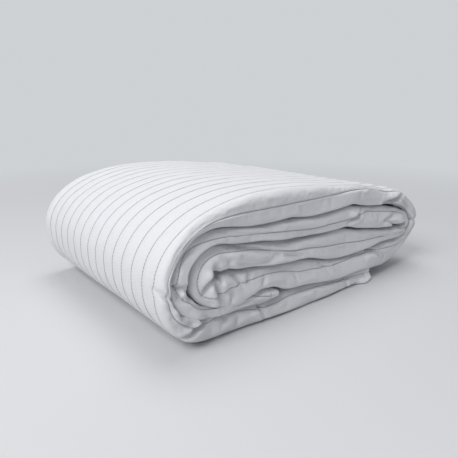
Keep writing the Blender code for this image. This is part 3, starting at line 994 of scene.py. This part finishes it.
def puffed_up(places, quads, pinned):
    """Where the points of a slack cloth settle when it is pressed out from within."""
    mesh = bpy.data.meshes.new("simulated_face")
    mesh.from_pydata(places.tolist(), [], quads.tolist())
    made = bpy.data.objects.new("simulated_face", mesh)
    bpy.context.scene.collection.objects.link(made)
    sewn = made.vertex_groups.new(name="sewn_down")
    sewn.add(pinned.tolist(), 1.0, "REPLACE")
    cloth = made.modifiers.new("cloth", "CLOTH")
    cloth.settings.quality = CLOTH_QUALITY
    cloth.settings.mass = CLOTH_MASS
    cloth.settings.tension_stiffness = CLOTH_STRETCH
    cloth.settings.compression_stiffness = CLOTH_STRETCH
    cloth.settings.shear_stiffness = CLOTH_SHEAR
    cloth.settings.bending_stiffness = CLOTH_BENDING
    cloth.settings.vertex_group_mass = sewn.name
    cloth.settings.use_pressure = True
    cloth.settings.uniform_pressure_force = CLOTH_PRESSURE
    cloth.settings.shrink_min = -CLOTH_SLACK
    cloth.settings.effector_weights.gravity = 0.0
    cloth.collision_settings.use_collision = False
    cloth.point_cache.frame_end = CLOTH_FRAMES
    for frame in range(1, CLOTH_FRAMES + 1):
        bpy.context.scene.frame_set(frame)
    settled = made.evaluated_get(bpy.context.evaluated_depsgraph_get()).data
    found = np.empty(3 * len(settled.vertices), dtype=np.float32)
    settled.vertices.foreach_get("co", found)
    bpy.data.objects.remove(made)
    bpy.context.scene.frame_set(1)
    return found.reshape(-1, 3)


def rows_between(rows, places):
    """Rows of values at places between the rows."""
    low = np.minimum(places.astype(int), len(rows) - 2)
    part = (places - low)[:, None, None]
    return rows[low] * (1 - part) + rows[low + 1] * part


def simulated_face(strip, outside, channel):
    """How far every point of the face moves when its slack cloth is puffed up by the wadding."""
    rows = np.arange(0, len(strip.run), CLOTH_STATIONS)
    columns = simulated_columns(channel)
    run = strip.run[rows][:, None]
    across = channel[columns][None]
    used = (run < OUTER_TURNS) | (np.abs(across) < CLOTH_NEAR_CHANNELS)
    pinned = (np.abs(across - np.round(across)) < TINY) | (np.abs(across) > CHANNELS - 1)
    outer_ends = run >= OUTER_TURNS - CLOTH_EDGE
    pinned = pinned | (np.abs(across) >= 1) & (outer_ends | (across < 0))
    taped = round(END_TAPE_COVER / (STATION * CLOTH_STATIONS))
    pinned[:taped] = True
    pinned[-taped:] = True

    index = np.full(used.shape, -1)
    index[used] = np.arange(used.sum())
    quads = np.stack([index[:-1, :-1], index[1:, :-1], index[1:, 1:], index[:-1, 1:]], axis=-1)
    quads = quads.reshape(-1, 4)
    quads = quads[(quads >= 0).all(axis=1)]
    start = outside[np.ix_(rows, columns)]
    moves = np.zeros(start.shape)
    moves[used] = puffed_up(start[used], quads, index[used & pinned]) - start[used]

    length = np.linalg.norm(moves, axis=2, keepdims=True)
    cap = np.interp(np.abs(across), CLOTH_CAP_CHANNELS, (CLOTH_CAP, CLOTH_CAP_AWAY))[..., None]
    moves *= cap / np.maximum(length, cap)
    even = np.stack([smoothed(moves[..., k], CLOTH_EVEN) for k in range(3)], axis=-1)
    moves += (even - moves) * np.maximum(off_near_line(across), CLOTH_CALM)[..., None]
    from_end = np.minimum(run, strip.length - run)
    moves *= np.clip((from_end - END_TAPE_COVER) / END_TAPE_COVER, 0.0, 1.0)[..., None]

    along = np.interp(np.arange(len(strip.run)), rows, np.arange(len(rows)))
    moves = rows_between(moves, along)
    inside = (channel >= channel[columns[0]]) & (channel <= channel[columns[-1]])
    place = np.interp(channel[inside], channel[columns], np.arange(len(columns)))
    everywhere = np.zeros(outside.shape)
    everywhere[:, inside] = rows_between(moves.swapaxes(0, 1), place).swapaxes(0, 1)
    from_line = CHANNEL_PITCH * np.abs(channel - np.round(channel))
    return everywhere * np.clip(from_line / CLOTH_HELD, 0.0, 1.0)[None, :, None]


def lining_path(strip, offset_share, points):
    """A plain path of the folded ply, from its free edge to its tucked edge."""
    ply, half = strip.ply, strip.half
    ends = tucked_in(strip)
    flat = half - ends
    y = np.linspace(FAR_Y - TAPE_NOSE, FIRST_LINE_Y, points)
    drawn = half - np.maximum(ends, under_tape(FAR_Y - y))
    parts = [(y + 0 * drawn, -(ply + drawn * offset_share))]
    turn = np.linspace(-1.0, 1.0, LINING_NEAR_STEPS)[1:-1]
    depth_share, height_share = strip.nose(turn + 0 * ply)
    radius = NEAR_NOSE - half + flat * offset_share
    parts.append((FIRST_LINE_Y - radius * depth_share, (ply + flat * offset_share) * height_share))
    far_fold_y = FAR_Y - ply / 2 - half
    y = FIRST_LINE_Y + (far_fold_y - FIRST_LINE_Y) * np.linspace(0.0, 1.0, points)
    parts.append((y, ply + flat * offset_share + 0 * y))
    angle = np.linspace(math.pi / 2, -math.pi / 2, LINING_FAR_STEPS)[1:-1]
    radius = np.maximum(ply / 2 + flat * offset_share, 0.0)
    parts.append((far_fold_y + radius * np.cos(angle), ply / 2 + radius * np.sin(angle)))
    y = far_fold_y + (FIRST_LINE_Y + TAPE_NOSE - far_fold_y) * np.linspace(0.0, 1.0, points)
    drawn = half - np.maximum(ends, under_tape(y - FIRST_LINE_Y))
    parts.append((y, -drawn * offset_share))
    return [np.hstack([part[k] for part in parts]) for k in range(2)]


def tube_mesh(name, points, uv=None):
    """A closed form from rings of points, one ring for each station."""
    stations, around = points.shape[:2]
    index = np.arange(stations * around).reshape(stations, around)
    turned = np.roll(index, -1, axis=1)
    quads = np.stack([index[:-1], turned[:-1], turned[1:], index[1:]], axis=-1).reshape(-1, 4)
    mesh = bpy.data.meshes.new(name)
    corners = np.concatenate([quads.ravel(), index[0][::-1], index[-1]])
    starts = np.concatenate(
        [np.arange(len(quads)) * 4, [len(quads) * 4, len(quads) * 4 + around]]
    )
    mesh.vertices.add(stations * around)
    mesh.vertices.foreach_set("co", points.reshape(-1).astype(np.float32))
    mesh.loops.add(len(corners))
    mesh.loops.foreach_set("vertex_index", corners.astype(np.int32))
    mesh.polygons.add(len(starts))
    mesh.polygons.foreach_set("loop_start", starts.astype(np.int32))
    mesh.update(calc_edges=True)
    mesh.validate()
    if uv is not None:
        layer = mesh.uv_layers.new(name="cloth")
        layer.data.foreach_set("uv", uv.reshape(-1, 2)[corners].astype(np.float32).ravel())
    mesh.shade_smooth()
    return mesh


def faced_out(made):
    """Turns a closed mesh's faces outwards."""
    form = bmesh.new()
    form.from_mesh(made.data)
    bmesh.ops.triangulate(form, faces=[f for f in form.faces if len(f.verts) > 4])
    if form.calc_volume(signed=True) < 0:
        bmesh.ops.reverse_faces(form, faces=form.faces)
    form.to_mesh(made.data)
    form.free()


def new_piece(name, mesh, finish):
    """An object for a mesh, with its finish."""
    made = bpy.data.objects.new(name, mesh)
    bpy.context.scene.collection.objects.link(made)
    mesh.materials.append(finish)
    return made


def new_finish(name):
    """A finish with its nodes and the links between them."""
    finish = bpy.data.materials.new(name)
    finish.use_nodes = True
    return finish, finish.node_tree.nodes, finish.node_tree.links


def two_tones(nodes, links, share, dark, light):
    """The mix of two colours by the share that a socket gives."""
    mixed = nodes.new("ShaderNodeMix")
    mixed.data_type = "RGBA"
    mixed.inputs[6].default_value = dark
    mixed.inputs[7].default_value = light
    links.new(share, mixed.inputs[0])
    return mixed.outputs[2]


def cloth_finish(name, color, weave, sheen):
    """Matte woven cloth: a fine twill by the cloth's own map, a soft nap and uneven threads."""
    finish, nodes, links = new_finish(name)
    shader = nodes["Principled BSDF"]
    shader.inputs["Roughness"].default_value = CLOTH_ROUGHNESS
    shader.inputs["Sheen Weight"].default_value = sheen
    shader.inputs["Sheen Roughness"].default_value = SHEEN_ROUGHNESS
    place = nodes.new("ShaderNodeTexCoord")
    twill = nodes.new("ShaderNodeTexWave")
    twill.wave_type = "BANDS"
    twill.bands_direction = "DIAGONAL"
    twill.inputs["Scale"].default_value = weave
    twill.inputs["Distortion"].default_value = TWILL_WAVER
    nap = nodes.new("ShaderNodeTexNoise")
    nap.inputs["Scale"].default_value = NAP_SCALE
    nap.inputs["Detail"].default_value = NAP_DETAIL
    tone = nodes.new("ShaderNodeTexNoise")
    tone.inputs["Scale"].default_value = TONE_SCALE
    tone.inputs["Detail"].default_value = TONE_DETAIL
    heights = nodes.new("ShaderNodeMath")
    heights.operation = "MULTIPLY_ADD"
    heights.inputs[1].default_value = TWILL_HEIGHT
    bump = nodes.new("ShaderNodeBump")
    bump.inputs["Strength"].default_value = WEAVE_STRENGTH
    bump.inputs["Distance"].default_value = WEAVE_HEIGHT
    dark = (*[c * TONE_DEPTH for c in color], 1.0)
    shade = two_tones(nodes, links, tone.outputs["Fac"], dark, (*color, 1.0))
    links.new(place.outputs["UV"], twill.inputs["Vector"])
    links.new(place.outputs["Object"], nap.inputs["Vector"])
    links.new(place.outputs["Object"], tone.inputs["Vector"])
    links.new(twill.outputs["Fac"], heights.inputs[0])
    links.new(nap.outputs["Fac"], heights.inputs[2])
    links.new(heights.outputs[0], bump.inputs["Height"])
    links.new(bump.outputs["Normal"], shader.inputs["Normal"])
    links.new(shade, shader.inputs["Base Color"])
    finish.diffuse_color = (*color, 1.0)
    return finish


def thread_finish():
    """Grey quilting thread."""
    finish, nodes, links = new_finish("quilting_thread")
    shader = nodes["Principled BSDF"]
    shader.inputs["Roughness"].default_value = THREAD_ROUGHNESS
    place = nodes.new("ShaderNodeTexCoord")
    fibre = nodes.new("ShaderNodeTexNoise")
    fibre.inputs["Scale"].default_value = FIBRE_SCALE
    shade = two_tones(nodes, links, fibre.outputs["Fac"], THREAD_DARK, THREAD_LIGHT)
    links.new(place.outputs["Object"], fibre.inputs["Vector"])
    links.new(shade, shader.inputs["Base Color"])
    return finish


def quilted_pad(strip, quilting, finish):
    """Face cloth and wadding as one padded form, folded and rolled."""
    y, height, channel = fold_path(strip, quilting)
    outside = near_end_pressed(strip, strip.place(y, height))
    outside += simulated_face(strip, outside, channel[0])
    outside[:, :, 2] = np.maximum(outside[:, :, 2], 0.0)
    inner_y, inner_height = lining_path(strip, PAD_SKIN, PAD_SKIN_STEPS)
    inside = strip.place(inner_y, inner_height)[:, ::-1]
    run = strip.run[:, None]
    uv_out = np.stack([run + 0 * channel, channel * CHANNEL_PITCH], axis=2)
    uv_in = np.stack([run + 0 * inner_y, inner_y + LINING_UV], axis=2)[:, ::-1]
    points = np.concatenate([outside, inside], axis=1)
    mesh = tube_mesh("quilted_pad", points, np.concatenate([uv_out, uv_in], axis=1))
    made = new_piece("quilted_pad", mesh, finish)
    faced_out(made)
    return made


def backing_lining(strip, finish):
    """The thin backing cloth on the inner side of the ply."""
    upper, lower = [strip.place(*lining_path(strip, skin, LINING_STEPS)) for skin in LINING_SKINS]
    points = np.concatenate([upper, lower[:, ::-1]], axis=1)
    mesh = tube_mesh("backing_lining", points[::LINING_STATIONS])
    made = new_piece("backing_lining", mesh, finish)
    faced_out(made)
    return made


def side_binding(name, strip, middle, edge_y, outward, finish):
    """Tape round a long free edge of the pad."""
    half = strip.half - PINCH
    skin, gap = half + PINCH, half + CLEARANCE
    angle = np.linspace(math.pi / 2, -math.pi / 2, TAPE_FOLD_STEPS)
    backs = [TAPE_REACH * share for share in SIDE_TAPE_SHARES]
    zero = 0 * half
    ring = [(zero - back, skin) for back in backs]
    ring += [(zero + TAPE_NOSE * math.cos(a), skin * math.sin(a)) for a in angle]
    ring += [(zero - back, -skin) for back in backs[::-1]]
    ring += [(zero - back, -gap) for back in backs[::2]]
    inner_nose = TAPE_NOSE - TAPE
    ring += [(zero + inner_nose * math.cos(a), gap * math.sin(a)) for a in angle[::-1][1:-1:2]]
    ring += [(zero - back, gap) for back in backs[::-2]]
    reach, height = [np.hstack(values) for values in zip(*ring)]
    points = strip.place(edge_y + outward * reach, middle + height)
    along = strip.run[:, None] + 0 * reach
    uv = np.stack([along, np.cumsum(0 * reach + MILLIMETRE, axis=1)], axis=2)
    kept = slice(SIDE_TAPE_ENDS, -SIDE_TAPE_ENDS)
    mesh = tube_mesh(name, points[kept], uv[kept])
    made = new_piece(name, mesh, finish)
    faced_out(made)
    return made


def end_binding(name, strip, quilting, head, finish):
    """Tape round one end of the folded ply, from its free edge to its tucked edge."""
    y, height, _ = fold_path(strip, quilting)
    rows = slice(-END_TAPE_ROWS, None) if head else slice(None, END_TAPE_ROWS)
    end, y, height = strip.piece(rows), y[rows], height[rows]
    travel = np.stack([np.gradient(y, axis=1), np.gradient(height, axis=1)], axis=2)
    travel /= np.linalg.norm(travel, axis=2, keepdims=True)
    through = 2 * (end.half - PINCH)
    ring = []
    for back, depth, wall in end_tape_ring():
        rise = wall - depth * (through + 2 * wall)
        station = int(round(max(back, 0.0) / STATION))
        beyond = min(back, 0.0)
        forward = -beyond if head else beyond
        points = end.place(y - travel[:, :, 1] * rise, height + travel[:, :, 0] * rise, forward)
        ring.append(near_end_pressed(end, points)[-1 - station if head else station])
    mesh = tube_mesh(name, np.stack(ring, axis=1)[END_TAPE_TRIM:-END_TAPE_TRIM])
    made = new_piece(name, mesh, finish)
    faced_out(made)
    return made


def stitch_tree():
    """Geometry nodes that lay stitches end to end along the quilting lines."""
    tree = bpy.data.node_groups.new("stitches_along_lines", "GeometryNodeTree")
    tree.is_modifier = True
    face = tree.interface
    face.new_socket("Geometry", in_out="INPUT", socket_type="NodeSocketGeometry")
    face.new_socket("Stitch Spacing", in_out="INPUT", socket_type="NodeSocketFloat")
    face.new_socket("Stitch Size", in_out="INPUT", socket_type="NodeSocketVector")
    face.new_socket("Thread", in_out="INPUT", socket_type="NodeSocketMaterial")
    face.new_socket("Geometry", in_out="OUTPUT", socket_type="NodeSocketGeometry")
    nodes, links = tree.nodes, tree.links
    start = nodes.new("NodeGroupInput")
    lines = nodes.new("GeometryNodeMeshToCurve")
    spaced = nodes.new("GeometryNodeResampleCurve")
    spaced.mode = "LENGTH"
    tangent = nodes.new("GeometryNodeInputTangent")
    turned = nodes.new("FunctionNodeAlignRotationToVector")
    turned.axis = "Z"
    stitch = nodes.new("GeometryNodeMeshUVSphere")
    stitch.inputs["Segments"].default_value = STITCH_SIDES
    stitch.inputs["Rings"].default_value = STITCH_RINGS
    stitch.inputs["Radius"].default_value = STITCH_RADIUS
    laid = nodes.new("GeometryNodeInstanceOnPoints")
    real = nodes.new("GeometryNodeRealizeInstances")
    dressed = nodes.new("GeometryNodeSetMaterial")
    end = nodes.new("NodeGroupOutput")
    links.new(start.outputs["Geometry"], lines.inputs["Mesh"])
    links.new(lines.outputs["Curve"], spaced.inputs["Curve"])
    links.new(start.outputs["Stitch Spacing"], spaced.inputs["Length"])
    links.new(spaced.outputs["Curve"], laid.inputs["Points"])
    links.new(stitch.outputs["Mesh"], laid.inputs["Instance"])
    links.new(tangent.outputs["Tangent"], turned.inputs["Vector"])
    links.new(turned.outputs["Rotation"], laid.inputs["Rotation"])
    links.new(start.outputs["Stitch Size"], laid.inputs["Scale"])
    links.new(laid.outputs["Instances"], real.inputs["Geometry"])
    links.new(real.outputs["Geometry"], dressed.inputs["Geometry"])
    links.new(start.outputs["Thread"], dressed.inputs["Material"])
    links.new(dressed.outputs["Geometry"], end.inputs["Geometry"])
    return tree


def line_mesh(name, ways):
    """A mesh of open lines."""
    mesh = bpy.data.meshes.new(name)
    places, edges = [], []
    for way in ways:
        first = len(places)
        places += [tuple(point) for point in way]
        edges += [(first + k, first + k + 1) for k in range(len(way) - 1)]
    mesh.from_pydata(places, edges, [])
    return mesh


def stitched(name, ways, spacing, size, thread):
    """A piece made of all the stitches along some lines."""
    made = new_piece(name, line_mesh(name, ways), thread)
    tree = stitch_tree()
    modifier = made.modifiers.new("stitches", "NODES")
    modifier.node_group = tree
    inputs = {s.name: s.identifier for s in tree.interface.items_tree if s.in_out == "INPUT"}
    modifier[inputs["Stitch Spacing"]] = spacing
    modifier[inputs["Stitch Size"]] = size
    modifier[inputs["Thread"]] = thread
    graph = bpy.context.evaluated_depsgraph_get()
    mesh = bpy.data.meshes.new_from_object(made.evaluated_get(graph))
    made.modifiers.clear()
    made.data = mesh
    mesh.shade_smooth()
    return made


def quilting_lines(strip, quilting):
    """Where the quilting thread lies: round the near fold, and along the outer turns."""
    ways = []
    at_line = quilting.sink(np.zeros(1))
    offset = strip.half - NEAR_SINK * at_line + THREAD_PROUD
    depth_share, height_share = strip.nose(strip.near_line)
    radius = NEAR_NOSE - strip.half + offset + strip.sticks_out
    swell = np.where(strip.near_line < 0, strip.swell[:, :1], strip.swell[:, 1:])
    y = FIRST_LINE_Y - radius * depth_share
    height = (strip.ply + offset + swell) * height_share
    kept = slice(THREAD_ENDS, -THREAD_ENDS)
    ways.append(near_end_pressed(strip, strip.place(y, height))[kept, 0])
    outer = (strip.run > THREAD_STARTS) & (strip.run < OUTER_TURNS)
    for line in range(1, CHANNELS):
        offset = strip.half - quilting.sink(np.array([float(line)])) + THREAD_PROUD
        y = np.full(offset.shape, FIRST_LINE_Y + (line - 1) * CHANNEL_PITCH)
        swell = strip.swell[:, 1:] * swell_left_at(y)
        points = near_end_pressed(strip, strip.place(y, strip.ply + offset + swell))
        ways.append(points[outer, 0])
    return ways


def floor_finish():
    """Pale floor that fades into the plain backdrop away from the pad, seen by the camera only."""
    finish, nodes, links = new_finish("pale_floor")
    paint = nodes["Principled BSDF"]
    paint.inputs["Base Color"].default_value = FLOOR_COLOR
    paint.inputs["Roughness"].default_value = FLOOR_ROUGHNESS
    place = nodes.new("ShaderNodeTexCoord")
    distance = nodes.new("ShaderNodeVectorMath")
    distance.operation = "LENGTH"
    fade = nodes.new("ShaderNodeMapRange")
    fade.interpolation_type = "SMOOTHSTEP"
    fade.inputs["From Min"].default_value = FLOOR_FADES[0]
    fade.inputs["From Max"].default_value = FLOOR_FADES[1]
    path = nodes.new("ShaderNodeLightPath")
    seen = nodes.new("ShaderNodeMath")
    seen.operation = "MULTIPLY"
    plain = nodes.new("ShaderNodeEmission")
    plain.inputs["Color"].default_value = (*BACKDROP, 1.0)
    mixed = nodes.new("ShaderNodeMixShader")
    links.new(place.outputs["Object"], distance.inputs[0])
    links.new(distance.outputs["Value"], fade.inputs["Value"])
    links.new(fade.outputs["Result"], seen.inputs[0])
    links.new(path.outputs["Is Camera Ray"], seen.inputs[1])
    links.new(seen.outputs["Value"], mixed.inputs["Fac"])
    links.new(paint.outputs["BSDF"], mixed.inputs[1])
    links.new(plain.outputs["Emission"], mixed.inputs[2])
    links.new(mixed.outputs["Shader"], nodes["Material Output"].inputs["Surface"])
    return finish


def soft_room():
    """Even light from all round, with the plain backdrop where the camera looks past the floor."""
    world = bpy.data.worlds.new("soft_room")
    bpy.context.scene.world = world
    world.use_nodes = True
    nodes, links = world.node_tree.nodes, world.node_tree.links
    light = nodes["Background"]
    light.inputs["Color"].default_value = ROOM_COLOR
    light.inputs["Strength"].default_value = ROOM_LIGHT
    seen = nodes.new("ShaderNodeBackground")
    seen.inputs["Color"].default_value = (*BACKDROP, 1.0)
    path = nodes.new("ShaderNodeLightPath")
    mixed = nodes.new("ShaderNodeMixShader")
    links.new(path.outputs["Is Camera Ray"], mixed.inputs["Fac"])
    links.new(light.outputs["Background"], mixed.inputs[1])
    links.new(seen.outputs["Background"], mixed.inputs[2])
    links.new(mixed.outputs["Shader"], nodes["World Output"].inputs["Surface"])


def studio():
    """Plain pale floor, soft light from the upper left and a camera at the photo's angle."""
    floor_mesh = bpy.data.meshes.new("floor")
    far = FLOOR_REACH
    corners = [(-far, -far, 0), (far, -far, 0), (far, far, 0), (-far, far, 0)]
    floor_mesh.from_pydata(corners, [], [(0, 1, 2, 3)])
    new_piece("floor", floor_mesh, floor_finish())
    soft_room()

    for name, place, size, power in SOFT_BOXES:
        lamp = bpy.data.lights.new(name, "AREA")
        lamp.shape = "SQUARE"
        lamp.size = size
        lamp.energy = power
        made = bpy.data.objects.new(name, lamp)
        bpy.context.scene.collection.objects.link(made)
        made.location = place
        direction = np.array(LIGHT_AIM) - np.array(place)
        made.rotation_euler = Vector(direction).to_track_quat("-Z", "Y").to_euler()

    lens = bpy.data.cameras.new("camera")
    lens.sensor_width = SENSOR
    lens.lens = LENS
    camera = bpy.data.objects.new("camera", lens)
    bpy.context.scene.collection.objects.link(camera)
    camera.location = CAMERA_PLACE
    camera.rotation_euler = (math.radians(90 - CAMERA_DOWN), 0.0, -math.radians(CAMERA_TURN))
    bpy.context.scene.camera = camera
    bpy.context.scene.view_settings.view_transform = "Standard"


def build():
    """All the visible pieces, each on the body and node that it stands for."""
    face = cloth_finish("face_cotton", *FACE_COTTON)
    lining = cloth_finish("lining_cotton", *LINING_COTTON)
    tape = cloth_finish("woven_tape", *WOVEN_TAPE)
    strip = Strip()
    quilting = Quilting(strip)

    pad = quilted_pad(strip, quilting, face)
    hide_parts("face_cloth_outer_turns", "face_cloth_inner_turns", "wadding")
    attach(pad, "root")

    thread = thread_finish()
    lines = quilting_lines(strip, quilting)
    stitches = stitched("quilting_stitches", lines, STITCH_SPACING, STITCH_SIZE, thread)
    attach(stitches, "root")

    back = backing_lining(strip, lining)
    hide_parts("backing_cloth")
    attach(back, "root")

    edge_y = FAR_Y - TAPE_NOSE
    outer = side_binding("outer_edge_tape", strip, -strip.ply, edge_y, 1, tape)
    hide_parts("outer_side_binding")
    edge_y = FIRST_LINE_Y + TAPE_NOSE
    tucked = side_binding("tucked_edge_tape", strip, 0 * strip.ply, edge_y, -1, tape)
    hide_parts("tucked_side_binding")
    foot = end_binding("foot_end_tape", strip, quilting, False, tape)
    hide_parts("foot_end_binding")
    head = end_binding("head_end_tape", strip, quilting, True, tape)
    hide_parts("head_end_binding")
    for binding in (outer, tucked, foot, head):
        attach(binding, "root")


build()
studio()
